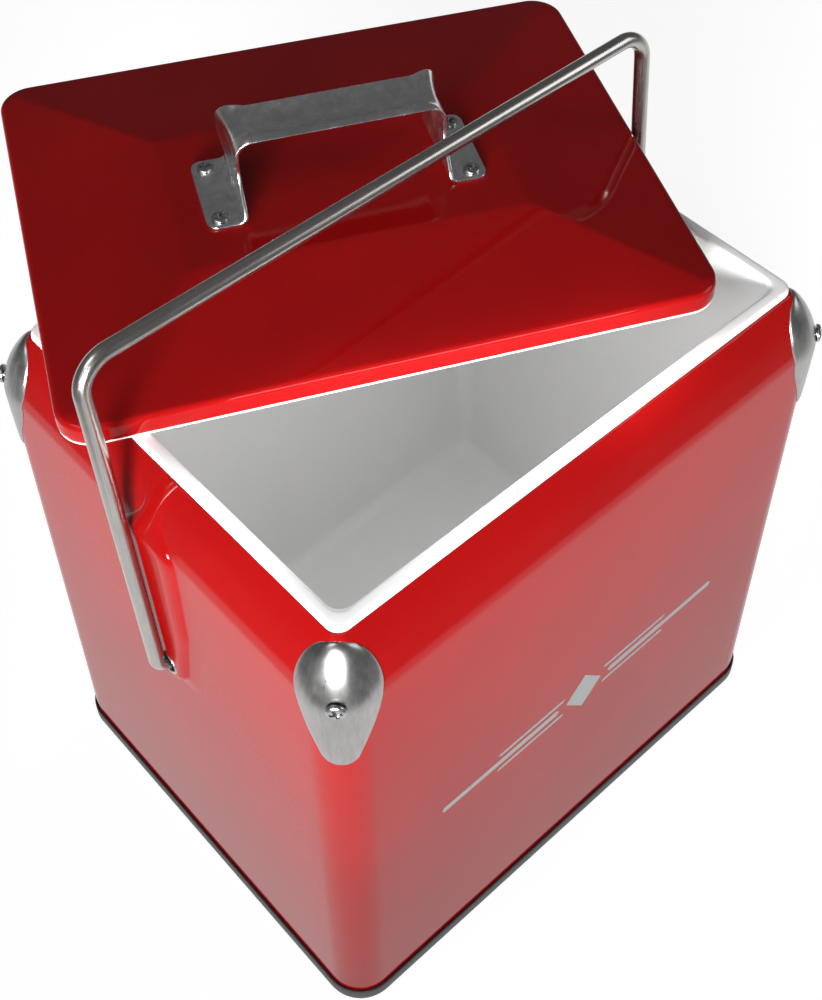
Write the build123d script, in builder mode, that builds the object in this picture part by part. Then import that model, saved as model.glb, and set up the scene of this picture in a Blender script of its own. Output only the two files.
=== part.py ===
from build123d import *
import math
import os

os.makedirs("parts", exist_ok=True)

# All sizes in millimetres. The origin is the middle of the chest's underside, X along its
# length, -Y towards the front, +Z up. The lid is off its seat: it lies turned across the rim.

# Chest shell
body_length = 320.0
body_width = 257.0
corner_radius = 20.0
shoulder_radius = 40.0
shoulder_inset = 15.0
rim_seat = 330.0
shell_skin = 1.0
shell_foot = 2.8
hem_width = 12.0
lip_width = 4.5
core_margin = 18.0
cut_margin = 10.0
press_gap = 0.02
shoulder_start = rim_seat - math.sqrt(shoulder_radius**2 - (shoulder_radius - shoulder_inset) ** 2)

# Base tray
tray_proud = 1.4
tray_height = 9.0
tray_floor = 2.5
tray_clearance = 0.15
tray_top_chamfer = 0.5
tray_bottom_chamfer = 0.8

# Tub liner
tub_length = 276.0
tub_width = 212.6
tub_corner = 8.0
tub_taper = 8.0
tub_floor = 32.0
tub_wall = 2.0
tub_bottom_radius = 10.0
rim_top = 333.7
rim_gap = 0.1
rim_overhang = 0.3
rim_corner = 7.2
rim_round = 1.6
tub_cut_height = 5.0

# Foam
foam_gap = 0.5
foam_bottom = 4.0
foam_top = 297.0

# Pivot pad and bail
pivot_height = 200.0
pad_height = 3.5
pad_foot = 19.0
pad_face = 10.0
pad_foot_tip = 13.0
pad_face_tip = 8.2
pad_taper_top = 237.0
pad_top_start = 303.0
pad_top_radius = 14.0
pad_hole = 6.4
rod_radius = 4.0
bail_half_span = 168.5
bail_length = 204.0
bail_lean = 4.5
bail_foot_bend = 7.5
bail_top_bend = 16.0
stub_end = 144.0
bore_clearance = 0.08

# Pivot hardware
plate_thickness = 1.5
plate_width = 56.0
plate_height = 60.0
bush_flange = 8.0
bush_barrel = 5.5
bush_inner_end = 150.5
flange_thickness = 1.3
clip_radius = 8.5
clip_thickness = 1.2
clip_gap = 0.4
eyelet_outer = 7.5
eyelet_inner = 6.0
eyelet_face = 0.4
eyelet_round = 0.32
plate_corner = 6.0
plate_gap = 0.05
plate_pocket_gap = 2.0
plate_pocket_depth = 3.0

# Corner guards
guard_gap = 0.3
guard_skin = 2.3
guard_small_radius = 8.5
guard_small_height = 264.5
guard_large_radius = 18.6
guard_large_height = 310.9
guard_screw_height = 302.0
guard_top_gap = 0.5
guard_cut_low = 200.0
guard_head_gap = 0.1
guard_head_radius = 4.6
guard_head_height = 3.0
guard_shank_radius = 2.4
guard_shank_length = 11.0
guard_nut_radius = 4.6
guard_nut_height = 4.0
guard_nut_depth = 17.5
hole_clearance = 0.2

# Screw heads, as shares of the head's radius or height
recess_width_share = 0.28
recess_length_share = 1.15
recess_depth_share = 0.55
head_round_share = 0.45

# Lid, in its own frame: x along its length, y to its back, z up from its underside
lid_centre = (22.0, 81.0)
lid_underside = 334.0
lid_turn = -26.0
lid_length = 314.0
lid_width = 249.0
lid_corner = 17.0
lid_edge = 12.0
lid_edge_round = 2.9
lid_skin_thickness = 1.0
roof_margin = 3.0
plateau_length = 169.0
plateau_width = 97.0
plateau_height = 20.0
panel_thickness = 1.4
panel_inset = 0.3
pocket_length = 291.5
pocket_width = 228.5
pocket_corner = 8.5
pocket_depth = 4.2
lid_foam_gap = 0.4
nut_pocket_gap = 2.0

# Lid handle
handle_thickness = 1.8
handle_foot_end = 70.0
handle_leg = 51.4
handle_bar_height = 58.0
handle_foot_half_width = 25.5
handle_bar_half_width = 13.0
handle_foot_bend = 4.0
handle_top_bend = 7.0
handle_neck_half_width = 18.0
handle_neck_low = 10.0
handle_neck_high = 26.0
dish_half_length = 44.0
dish_depth = 3.5
handle_screw_x = 63.5
handle_screw_y = 19.0
handle_head_radius = 4.2
handle_head_height = 2.6
handle_head_gap = 0.05
handle_shank_radius = 2.0
handle_shank_length = 9.5
handle_washer_radius = 5.0
handle_washer_thickness = 0.8
handle_nut_radius = 4.0
handle_nut_height = 3.2

lid_plane = Plane(
    origin=(lid_centre[0], lid_centre[1], lid_underside),
    x_dir=(math.cos(math.radians(lid_turn)), math.sin(math.radians(lid_turn)), 0),
    z_dir=(0, 0, 1),
)


def save(piece, label):
    """Label a finished piece and write it to its own file."""
    piece.label = label
    export_step(piece, f"parts/{label}.step")


def half_outline():
    """Half of the body's rounded outline, from the middle of the front to the middle of the back."""
    half_length = body_length / 2
    half_width = body_width / 2
    with BuildLine() as outline:
        FilletPolyline(
            (0, -half_width),
            (half_length, -half_width),
            (half_length, half_width),
            (0, half_width),
            radius=corner_radius,
        )
    return outline.wire()


def chest_form(skin, low, high):
    """The chest's solid outer form, moved inward by skin, between two heights."""
    section_plane = Plane(origin=(0, -body_width / 2, 0), x_dir=(0, -1, 0), z_dir=(-1, 0, 0))
    radius = shoulder_radius - skin
    sweep_angle = math.degrees(math.asin((high - shoulder_start) / radius))
    core_corner = corner_radius - core_margin + 1
    with BuildPart() as form:
        with BuildSketch(section_plane):
            with BuildLine():
                shoulder = CenterArc((-shoulder_radius, shoulder_start), radius, 0, sweep_angle)
                Line(shoulder @ 1, (-core_margin, high))
                Line((-core_margin, high), (-core_margin, low))
                Line((-core_margin, low), (-skin, low))
                Line((-skin, low), shoulder @ 0)
            make_face()
        sweep(path=half_outline())
        mirror(about=Plane.YZ)
        with BuildSketch(Plane.XY.offset(low)):
            RectangleRounded(
                body_length - 2 * core_margin + 2, body_width - 2 * core_margin + 2, core_corner
            )
        extrude(amount=high - low)
    return form.part


def pivot_pad(skin, side):
    """The raised pad round one bail pivot, moved inward by skin; side is 1 or -1 along X."""
    foot_x = body_length / 2
    face_x = foot_x + pad_height - skin
    root_x = foot_x - core_margin
    pad_low = pivot_height - pad_foot_tip - cut_margin
    pad_high = rim_seat + cut_margin
    arc_x = foot_x + pad_height - pad_top_radius
    arc_radius = pad_top_radius - skin

    def outline(plane, tip_radius, half_width):
        with BuildSketch(plane) as shape:
            with Locations((0, pivot_height)):
                Circle(tip_radius)
            with Locations((0, pad_taper_top)):
                Rectangle(
                    2 * half_width, pad_high - pad_taper_top, align=(Align.CENTER, Align.MIN)
                )
            make_hull()
        return shape.sketch

    foot = outline(Plane.YZ.offset(foot_x), pad_foot_tip - skin, pad_foot - skin)
    face = outline(Plane.YZ.offset(face_x), pad_face_tip - skin, pad_face - skin)
    with BuildPart() as pad:
        add(loft([foot, face]))
        add(extrude(foot, amount=root_x - foot_x))
        with BuildSketch(Plane.XZ):
            with BuildLine():
                crown = CenterArc((arc_x, pad_top_start), arc_radius, 0, 90)
                crown_end = crown @ 1
                Line(crown_end, (root_x, crown_end.Y))
                Line((root_x, crown_end.Y), (root_x, pad_low))
                Line((root_x, pad_low), (face_x, pad_low))
                Line((face_x, pad_low), crown @ 0)
            make_face()
        extrude(amount=body_width / 4, both=True, mode=Mode.INTERSECT)
        if side < 0:
            mirror(about=Plane.YZ, mode=Mode.REPLACE)
    return pad.part


def end_plane(x, side):
    """A plane across the chest's end at distance x, whose z points outward."""
    return Plane(origin=(side * x, 0, pivot_height), x_dir=(0, 1, 0), z_dir=(side, 0, 0))


def corner_plane(side_x, side_y, height):
    """A plane on a vertical corner's axis, whose z points out along the corner's diagonal."""
    return Plane(
        origin=(
            side_x * (body_length / 2 - corner_radius),
            side_y * (body_width / 2 - corner_radius),
            height,
        ),
        x_dir=(-side_y, side_x, 0),
        z_dir=(side_x, side_y, 0),
    )


def pan_screw(plane, head_radius, head_height, shank_radius, shank_length):
    """A cross-recessed pan-head screw; its head stands on the plane and its shank goes below."""
    slot_width = head_radius * recess_width_share
    slot_length = head_radius * recess_length_share
    slot_depth = head_height * recess_depth_share
    with BuildPart() as screw:
        with BuildSketch(plane):
            Circle(head_radius)
        extrude(amount=head_height)
        top = screw.faces().filter_by(GeomType.PLANE).sort_by(SortBy.AREA)[-2:]
        outer = top.edges().filter_by(GeomType.CIRCLE)
        rim = sorted(outer, key=lambda edge: plane.to_local_coords(edge.center()).Z)[-1]
        fillet(rim, radius=head_height * head_round_share)
        with BuildSketch(plane.offset(head_height)):
            Rectangle(slot_length, slot_width)
            Rectangle(slot_width, slot_length)
        extrude(amount=-slot_depth, mode=Mode.SUBTRACT)
        with BuildSketch(plane):
            Circle(shank_radius)
        extrude(amount=-shank_length)
    return screw.part


def ring(plane, outer_radius, inner_radius, height):
    """A flat ring that stands on the plane."""
    with BuildPart() as washer:
        with BuildSketch(plane):
            Circle(outer_radius)
            Circle(inner_radius, mode=Mode.SUBTRACT)
        extrude(amount=height)
    return washer.part


def hex_nut(plane, radius, bore, height):
    """A hexagon nut that stands on the plane."""
    with BuildPart() as nut:
        with BuildSketch(plane):
            RegularPolygon(radius, 6)
            Circle(bore, mode=Mode.SUBTRACT)
        extrude(amount=height)
    return nut.part


corners = {
    "front_left": (-1, -1),
    "front_right": (1, -1),
    "back_left": (-1, 1),
    "back_right": (1, 1),
}
ends = {"left": -1, "right": 1}

# Outer shell: pressed skin with a shoulder, a raised pad at each end, a hem and a top lip
lip_inner_length = body_length - 2 * (shoulder_inset + lip_width)
lip_inner_width = body_width - 2 * (shoulder_inset + lip_width)
with BuildPart() as outer_shell:
    add(chest_form(0, shell_foot, rim_seat))
    for side in ends.values():
        add(pivot_pad(0, side))
    add(chest_form(shell_skin, shell_foot + shell_skin, rim_seat - shell_skin), mode=Mode.SUBTRACT)
    for side in ends.values():
        add(pivot_pad(shell_skin, side), mode=Mode.SUBTRACT)
    with BuildSketch(Plane.XY.offset(rim_seat - 2 * shell_skin)):
        RectangleRounded(lip_inner_length, lip_inner_width, corner_radius - shoulder_inset)
    extrude(amount=3 * shell_skin, mode=Mode.SUBTRACT)
    with BuildSketch(Plane.XY.offset(shell_foot - shell_skin)):
        RectangleRounded(body_length - 2 * hem_width, body_width - 2 * hem_width, corner_radius / 2)
    extrude(amount=3 * shell_skin, mode=Mode.SUBTRACT)
    for side in ends.values():
        with BuildSketch(end_plane(body_length / 2 - 1, side)):
            Circle(pad_hole)
        extrude(amount=2 * pad_height, mode=Mode.SUBTRACT)
    for side_x, side_y in corners.values():
        with BuildSketch(corner_plane(side_x, side_y, guard_screw_height)):
            Circle(guard_shank_radius + hole_clearance)
        extrude(amount=2 * corner_radius, mode=Mode.SUBTRACT)
save(outer_shell.part, "outer_shell")

# Base tray: black plastic, wraps the bottom of the shell
tray_length = body_length + 2 * tray_proud
tray_width = body_width + 2 * tray_proud
with BuildPart() as base_tray:
    with BuildSketch(Plane.XY):
        RectangleRounded(tray_length, tray_width, corner_radius + tray_proud)
    extrude(amount=tray_height)
    chamfer(base_tray.faces().sort_by(Axis.Z)[-1].edges(), length=tray_top_chamfer)
    chamfer(base_tray.faces().sort_by(Axis.Z)[0].edges(), length=tray_bottom_chamfer)
    with BuildSketch(Plane.XY.offset(tray_floor)):
        RectangleRounded(
            body_length + 2 * tray_clearance,
            body_width + 2 * tray_clearance,
            corner_radius + tray_clearance,
        )
    extrude(amount=tray_height, mode=Mode.SUBTRACT)
save(base_tray.part, "base_tray")


def tub_form(wall):
    """The tub's tapered form, grown outward by wall, from its floor up past the rim."""
    low = tub_floor - wall
    high = rim_top + tub_cut_height
    grow = 2 * wall
    with BuildPart() as tub:
        with BuildSketch(Plane.XY.offset(low)):
            RectangleRounded(
                tub_length - tub_taper + grow,
                tub_width - tub_taper + grow,
                tub_corner + tub_taper / 2 + wall,
            )
        with BuildSketch(Plane.XY.offset(high)):
            RectangleRounded(tub_length + grow, tub_width + grow, tub_corner + wall)
        loft()
        fillet(tub.faces().sort_by(Axis.Z)[0].edges(), radius=tub_bottom_radius + wall)
    return tub.part


# Tub liner: white plastic tub whose rolled rim sits on the shell's lip
rim_length = body_length - 2 * (shoulder_inset + rim_overhang)
rim_width = body_width - 2 * (shoulder_inset + rim_overhang)
with BuildPart() as tub_liner:
    with BuildSketch(Plane.XY.offset(rim_seat + rim_gap)):
        RectangleRounded(rim_length, rim_width, rim_corner)
    extrude(amount=rim_top - rim_seat - rim_gap)
    fillet(tub_liner.faces().sort_by(Axis.Z)[-1].edges(), radius=rim_round)
    with BuildPart(mode=Mode.PRIVATE) as tub_outside:
        add(tub_form(tub_wall))
        split(bisect_by=Plane.XY.offset(rim_seat + 2 * rim_gap), keep=Keep.BOTTOM)
    add(tub_outside.part)
    add(tub_form(0), mode=Mode.SUBTRACT)
    mouth = tub_liner.edges().group_by(Axis.Z)[-1]
    fillet(mouth, radius=rim_round)
save(tub_liner.part, "tub_liner")

# Foam between the shell and the tub, with a pocket behind each pivot
foam_skin = shell_skin + foam_gap
pocket_low = pivot_height - plate_height / 2 - plate_pocket_gap
pocket_reach = body_length / 2 - plate_pocket_depth
with BuildPart() as chest_foam:
    with BuildSketch(Plane.XY.offset(foam_bottom)):
        RectangleRounded(
            body_length - 2 * foam_skin, body_width - 2 * foam_skin, corner_radius - foam_skin
        )
    extrude(amount=foam_top - foam_bottom)
    add(tub_form(tub_wall + foam_gap), mode=Mode.SUBTRACT)
    for side in ends.values():
        with BuildSketch(Plane.XY.offset(pocket_low)):
            with Locations((side * (stub_end + pocket_reach) / 2, 0)):
                Rectangle(
                    pocket_reach - stub_end + 2 * plate_pocket_depth,
                    plate_width + 2 * plate_pocket_gap,
                )
        extrude(amount=plate_height + 2 * plate_pocket_gap, mode=Mode.SUBTRACT)
save(chest_foam.part, "chest_foam")

# Pivot plates, bushes, eyelets
plate_outer = body_length / 2 - shell_skin - plate_gap
for name, side in ends.items():
    with BuildPart() as pivot_plate:
        with BuildSketch(end_plane(plate_outer - plate_thickness, side)):
            RectangleRounded(plate_width, plate_height, plate_corner)
            Circle(bush_barrel + press_gap, mode=Mode.SUBTRACT)
        extrude(amount=plate_thickness)
    save(pivot_plate.part, f"pivot_plate_{name}")
    with BuildPart() as pivot_bush:
        with BuildSketch(end_plane(plate_outer + press_gap, side)):
            Circle(bush_flange)
        extrude(amount=flange_thickness)
        with BuildSketch(end_plane(bush_inner_end, side)):
            Circle(bush_barrel)
        extrude(amount=plate_outer + press_gap - bush_inner_end)
        with BuildSketch(end_plane(bush_inner_end - 1, side)):
            Circle(rod_radius + bore_clearance)
        extrude(amount=body_length / 2 - bush_inner_end + 2, mode=Mode.SUBTRACT)
    save(pivot_bush.part, f"pivot_bush_{name}")
    pad_x = body_length / 2 + pad_height
    with BuildPart() as pivot_eyelet:
        with BuildSketch(end_plane(pad_x, side)):
            Circle(eyelet_outer)
        extrude(amount=eyelet_face)
        face = pivot_eyelet.faces().sort_by(Axis.X)[-1 if side > 0 else 0]
        fillet(face.edges(), radius=eyelet_round)
        with BuildSketch(end_plane(pad_x - shell_skin - eyelet_face, side)):
            Circle(pad_hole - press_gap)
        extrude(amount=shell_skin + eyelet_face)
        with BuildSketch(end_plane(pad_x - 2 * shell_skin, side)):
            Circle(eyelet_inner)
        extrude(amount=3 * shell_skin, mode=Mode.SUBTRACT)
    save(pivot_eyelet.part, f"pivot_eyelet_{name}")

# Bail: one bent rod, leaning back from upright by bail_lean
lean = math.radians(bail_lean)
bail_plane = Plane(
    origin=(0, 0, pivot_height), x_dir=(1, 0, 0), z_dir=(0, -math.cos(lean), math.sin(lean))
)
with BuildPart() as bail:
    with BuildLine(bail_plane) as rod_path:
        FilletPolyline(
            (-stub_end, 0),
            (-bail_half_span, 0),
            (-bail_half_span, bail_length),
            (bail_half_span, bail_length),
            (bail_half_span, 0),
            (stub_end, 0),
            radius=(bail_foot_bend, bail_top_bend, bail_top_bend, bail_foot_bend),
        )
    with BuildSketch(Plane(origin=rod_path.wire() @ 0, z_dir=rod_path.wire() % 0)):
        Circle(rod_radius)
    sweep(path=rod_path.wire())
save(bail.part, "bail")

# Push-on retaining washers on the bail's ends
clip_outer_face = bush_inner_end - clip_gap
with BuildPart() as bail_end_clips:
    for side in ends.values():
        clip_plane = end_plane(clip_outer_face - clip_thickness, side)
        add(ring(clip_plane, clip_radius, rod_radius + press_gap, clip_thickness))
save(bail_end_clips.part, "bail_end_clips")

# Corner guards: egg-shaped pressings over the corners and shoulder
guard_outer = guard_gap + guard_skin
guard_seat = corner_radius + guard_outer
for name, (side_x, side_y) in corners.items():
    with BuildPart() as corner_guard:
        with BuildSketch(corner_plane(side_x, side_y, 0)):
            with Locations((0, guard_small_height)):
                Circle(guard_small_radius)
            with Locations((0, guard_large_height)):
                Circle(guard_large_radius)
            make_hull()
        extrude(amount=2 * corner_radius)
        add(chest_form(-guard_outer, guard_cut_low, rim_seat - guard_top_gap), mode=Mode.INTERSECT)
        add(chest_form(-guard_gap, guard_cut_low - 1, rim_seat + guard_top_gap), mode=Mode.SUBTRACT)
        with BuildSketch(corner_plane(side_x, side_y, guard_screw_height)):
            Circle(guard_shank_radius + hole_clearance)
        extrude(amount=2 * corner_radius, mode=Mode.SUBTRACT)
    save(corner_guard.part, f"corner_guard_{name}")

# Guard screws and the nuts behind them
with BuildPart() as guard_screws:
    for side_x, side_y in corners.values():
        seat = corner_plane(side_x, side_y, guard_screw_height).offset(guard_seat + guard_head_gap)
        add(
            pan_screw(
                seat, guard_head_radius, guard_head_height, guard_shank_radius, guard_shank_length
            )
        )
save(guard_screws.part, "guard_screws")
with BuildPart() as guard_nuts:
    for side_x, side_y in corners.values():
        seat = corner_plane(side_x, side_y, guard_screw_height).offset(
            guard_nut_depth - guard_nut_height
        )
        add(hex_nut(seat, guard_nut_radius, guard_shank_radius + press_gap, guard_nut_height))
save(guard_nuts.part, "guard_nuts")


def lid_form(skin):
    """The lid's solid form, moved inward by skin: a rounded slab with a hip roof and flat centre."""
    edge_top = lid_edge - skin
    with BuildPart() as form:
        with BuildSketch(lid_plane):
            RectangleRounded(lid_length - 2 * skin, lid_width - 2 * skin, lid_corner - skin)
        extrude(amount=edge_top)
        fillet(form.faces().sort_by(Axis.Z)[-1].edges(), radius=lid_edge_round - skin / 2)
        with BuildSketch(lid_plane.offset(edge_top)):
            RectangleRounded(
                lid_length - 2 * roof_margin, lid_width - 2 * roof_margin, lid_corner - roof_margin
            )
        with BuildSketch(lid_plane.offset(plateau_height - skin)):
            RectangleRounded(plateau_length, plateau_width, roof_margin)
        loft(ruled=True)
    return form.part


handle_screw_places = [
    (x * handle_screw_x, y * handle_screw_y) for x in (-1, 1) for y in (-1, 1)
]

# Lid skin
with BuildPart() as lid_skin:
    add(lid_form(0))
    add(lid_form(lid_skin_thickness), mode=Mode.SUBTRACT)
    with BuildSketch(lid_plane):
        RectangleRounded(lid_length + cut_margin, lid_width + cut_margin, lid_corner)
    extrude(amount=panel_thickness, mode=Mode.SUBTRACT)
    with BuildSketch(lid_plane.offset(plateau_height / 2)):
        with Locations(*handle_screw_places):
            Circle(handle_shank_radius + hole_clearance)
    extrude(amount=plateau_height, mode=Mode.SUBTRACT)
save(lid_skin.part, "lid_skin")

# Lid inner panel: white plastic, closes the skin from below and clears the tub's rim
with BuildPart() as lid_inner_panel:
    with BuildSketch(lid_plane):
        RectangleRounded(
            lid_length - 2 * panel_inset, lid_width - 2 * panel_inset, lid_corner - panel_inset
        )
    extrude(amount=panel_thickness - press_gap)
    with BuildSketch(lid_plane):
        RectangleRounded(
            pocket_length + 2 * panel_thickness,
            pocket_width + 2 * panel_thickness,
            pocket_corner + panel_thickness,
        )
    extrude(amount=pocket_depth + panel_thickness)
    with BuildSketch(lid_plane):
        RectangleRounded(pocket_length, pocket_width, pocket_corner)
    extrude(amount=pocket_depth, mode=Mode.SUBTRACT)
save(lid_inner_panel.part, "lid_inner_panel")

# Lid foam, cut away round the handle's nuts
with BuildPart() as lid_foam:
    add(lid_form(lid_skin_thickness + lid_foam_gap))
    with BuildSketch(lid_plane):
        RectangleRounded(lid_length + cut_margin, lid_width + cut_margin, lid_corner)
    extrude(amount=pocket_depth + panel_thickness + lid_foam_gap, mode=Mode.SUBTRACT)
    with BuildSketch(lid_plane):
        with Locations(*handle_screw_places):
            Circle(handle_washer_radius + nut_pocket_gap)
    extrude(amount=plateau_height, mode=Mode.SUBTRACT)
save(lid_foam.part, "lid_foam")

# Lid handle: a bent strap with two feet and a dished grip
foot_mid = plateau_height + handle_thickness / 2
strap_plane = Plane(origin=lid_plane.origin, x_dir=lid_plane.x_dir, z_dir=-lid_plane.y_dir)
end_view = Plane(origin=lid_plane.origin, x_dir=lid_plane.y_dir, z_dir=lid_plane.x_dir)
dish_radius = (handle_bar_half_width**2 + dish_depth**2) / (2 * dish_depth)
dish_angle = math.degrees(math.asin(handle_bar_half_width / dish_radius))
with BuildPart() as lid_handle:
    with BuildLine(strap_plane) as strap_path:
        FilletPolyline(
            (-handle_foot_end, foot_mid),
            (-handle_leg, foot_mid),
            (-handle_leg, handle_bar_height),
            (handle_leg, handle_bar_height),
            (handle_leg, foot_mid),
            (handle_foot_end, foot_mid),
            radius=(handle_foot_bend, handle_top_bend, handle_top_bend, handle_foot_bend),
        )
    strap_start = Plane(
        origin=strap_path.wire() @ 0, x_dir=lid_plane.y_dir, z_dir=strap_path.wire() % 0
    )
    with BuildSketch(strap_start):
        Rectangle(2 * handle_foot_half_width, handle_thickness)
    sweep(path=strap_path.wire())
    with BuildSketch(end_view):
        with BuildLine():
            half_profile = [
                (handle_foot_half_width, plateau_height - handle_thickness),
                (handle_foot_half_width, plateau_height + handle_foot_bend),
                (handle_neck_half_width, plateau_height + handle_neck_low),
                (handle_bar_half_width, plateau_height + handle_neck_high),
                (handle_bar_half_width, handle_bar_height + cut_margin),
            ]
            mirrored = [(-y, z) for y, z in reversed(half_profile)]
            Polyline(*half_profile, *mirrored, close=True)
        make_face()
    extrude(amount=handle_foot_end + cut_margin, both=True, mode=Mode.INTERSECT)
    dish_low = handle_bar_height - handle_thickness / 2
    with BuildSketch(end_view):
        with BuildLine():
            inside = CenterArc(
                (0, dish_low + dish_radius),
                dish_radius - handle_thickness,
                270 - dish_angle,
                2 * dish_angle,
            )
            outside = CenterArc(
                (0, dish_low + dish_radius), dish_radius, 270 - dish_angle, 2 * dish_angle
            )
            Line(inside @ 0, outside @ 0)
            Line(inside @ 1, outside @ 1)
        make_face()
    extrude(amount=dish_half_length, both=True)
    with BuildSketch(lid_plane.offset(plateau_height - 1)):
        with Locations(*handle_screw_places):
            Circle(handle_shank_radius + hole_clearance)
    extrude(amount=2 * handle_thickness, mode=Mode.SUBTRACT)
save(lid_handle.part, "lid_handle")

# Handle screws, washers and nuts
foot_top = plateau_height + handle_thickness + handle_head_gap
skin_low = plateau_height - lid_skin_thickness - handle_head_gap
washer_low = skin_low - handle_washer_thickness
nut_low = washer_low - press_gap - handle_nut_height


def at_handle_screws(height):
    """Planes over the four handle screws at a height above the lid's underside."""
    level = lid_plane.offset(height)
    return [
        Plane(origin=level.from_local_coords((x, y, 0)), x_dir=level.x_dir, z_dir=level.z_dir)
        for x, y in handle_screw_places
    ]


with BuildPart() as handle_screws:
    for seat in at_handle_screws(foot_top):
        add(
            pan_screw(
                seat,
                handle_head_radius,
                handle_head_height,
                handle_shank_radius,
                handle_shank_length,
            )
        )
save(handle_screws.part, "handle_screws")
with BuildPart() as handle_washers:
    for seat in at_handle_screws(washer_low):
        add(
            ring(
                seat,
                handle_washer_radius,
                handle_shank_radius + hole_clearance,
                handle_washer_thickness,
            )
        )
save(handle_washers.part, "handle_washers")
with BuildPart() as handle_nuts:
    for seat in at_handle_screws(nut_low):
        add(hex_nut(seat, handle_nut_radius, handle_shank_radius + press_gap, handle_nut_height))
save(handle_nuts.part, "handle_nuts")
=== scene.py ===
import math

import bmesh
import bpy
import numpy as np
from mathutils import Matrix, Vector


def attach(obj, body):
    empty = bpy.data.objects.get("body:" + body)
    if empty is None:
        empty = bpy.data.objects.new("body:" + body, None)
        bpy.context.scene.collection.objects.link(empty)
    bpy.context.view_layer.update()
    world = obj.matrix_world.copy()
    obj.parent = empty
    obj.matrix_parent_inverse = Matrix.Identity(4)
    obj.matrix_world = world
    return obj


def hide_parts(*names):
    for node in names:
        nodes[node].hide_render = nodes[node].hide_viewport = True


# Lengths are in millimetres here and become metres when a mesh is made.
MM = 0.001

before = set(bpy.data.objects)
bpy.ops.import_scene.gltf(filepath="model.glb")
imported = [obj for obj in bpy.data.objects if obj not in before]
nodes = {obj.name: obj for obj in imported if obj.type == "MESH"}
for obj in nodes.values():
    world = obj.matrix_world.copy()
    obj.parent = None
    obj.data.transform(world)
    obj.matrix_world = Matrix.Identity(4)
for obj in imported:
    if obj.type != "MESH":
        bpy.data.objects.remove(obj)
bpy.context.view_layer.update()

# ---------------------------------------------------------------- sizes shared with the frame
BODY_X, BODY_Y = 160.0, 128.5
BODY_R = 20.0
SHOULDER_R = 40.0
SHOULDER_INSET = 15.0
SEAT_Z = 330.0
SHOULDER_Z = SEAT_Z - math.sqrt(SHOULDER_R**2 - (SHOULDER_R - SHOULDER_INSET) ** 2)
PIVOT_Z = 200.0
PAD_OUT = 3.5
PAD_FOOT, PAD_FACE = 19.0, 10.0
PAD_FOOT_TIP, PAD_FACE_TIP = 13.0, 8.2
PAD_TAPER_Z = 237.0
LID_AT = Vector((22.0, 81.0, 334.0))
LID_TURN = math.radians(-26.0)
LEAN = math.radians(4.5)
LID_MATRIX = Matrix.Translation(LID_AT) @ Matrix.Rotation(LID_TURN, 4, "Z")


# ---------------------------------------------------------------- mesh helpers
def smoothstep(t):
    t = min(max(t, 0.0), 1.0)
    return t * t * (3 - 2 * t)


def ring(half_x, half_y, radius, across=8, along=8, steps=10, fy=None):
    """A rounded rectangle's points, anticlockwise; fy spaces the points on its ends."""
    fx = np.linspace(-1, 1, across + 1)
    fy = fy if fy is not None else np.linspace(-1, 1, along + 1)
    cx, cy = half_x - radius, half_y - radius
    arc = np.linspace(0, math.pi / 2, steps + 1)[1:-1]
    points = []
    points += [(half_x, f * cy) for f in fy]
    points += [(cx + radius * math.cos(a), cy + radius * math.sin(a)) for a in arc]
    points += [(-f * cx, half_y) for f in fx]
    points += [(-cx - radius * math.sin(a), cy + radius * math.cos(a)) for a in arc]
    points += [(-half_x, -f * cy) for f in fy]
    points += [(-cx - radius * math.cos(a), -cy - radius * math.sin(a)) for a in arc]
    points += [(f * cx, -half_y) for f in fx]
    points += [(cx + radius * math.sin(a), -cy - radius * math.cos(a)) for a in arc]
    return points


def make_mesh(name, verts, faces, sharp=40.0, matrix=None, uvs=None):
    """A smooth-shaded mesh object from points in millimetres."""
    mesh = bpy.data.meshes.new(name)
    mesh.from_pydata([tuple(c * MM for c in v) for v in verts], [], faces)
    if matrix is not None:
        scaled = matrix.copy()
        scaled.translation = matrix.translation * MM
        mesh.transform(scaled)
    if uvs is not None:
        layer = mesh.uv_layers.new(name="along")
        for loop in mesh.loops:
            layer.data[loop.index].uv = [c * MM for c in uvs[loop.vertex_index]]
    mesh.validate()
    obj = bpy.data.objects.new(name, mesh)
    bpy.context.scene.collection.objects.link(obj)
    tidy(obj, sharp)
    return obj


def tidy(obj, sharp=40.0):
    """Outward normals, smooth faces, and sharp edges above an angle."""
    bm = bmesh.new()
    bm.from_mesh(obj.data)
    bmesh.ops.recalc_face_normals(bm, faces=bm.faces)
    bm.to_mesh(obj.data)
    bm.free()
    obj.data.polygons.foreach_set("use_smooth", [True] * len(obj.data.polygons))
    obj.data.set_sharp_from_angle(angle=math.radians(sharp))


def stack(rings, closed=True, cap_first=False, cap_last=False):
    """Points and faces of a skin through successive rings of equal count."""
    count = len(rings[0])
    verts = [p for r in rings for p in r]
    faces = []
    last = count if closed else count - 1
    for i in range(len(rings) - 1):
        for j in range(last):
            k = (j + 1) % count
            faces.append((i * count + j, i * count + k, (i + 1) * count + k, (i + 1) * count + j))
    if cap_first:
        faces.append(tuple(reversed(range(count))))
    if cap_last:
        faces.append(tuple((len(rings) - 1) * count + j for j in range(count)))
    return verts, faces


def apply(obj, kind, **settings):
    """Adds a modifier and applies it to the mesh."""
    modifier = obj.modifiers.new(kind, kind)
    for key, value in settings.items():
        setattr(modifier, key, value)
    bpy.context.view_layer.update()
    evaluated = obj.evaluated_get(bpy.context.evaluated_depsgraph_get())
    mesh = bpy.data.meshes.new_from_object(evaluated)
    obj.modifiers.clear()
    obj.data = mesh
    return obj


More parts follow.
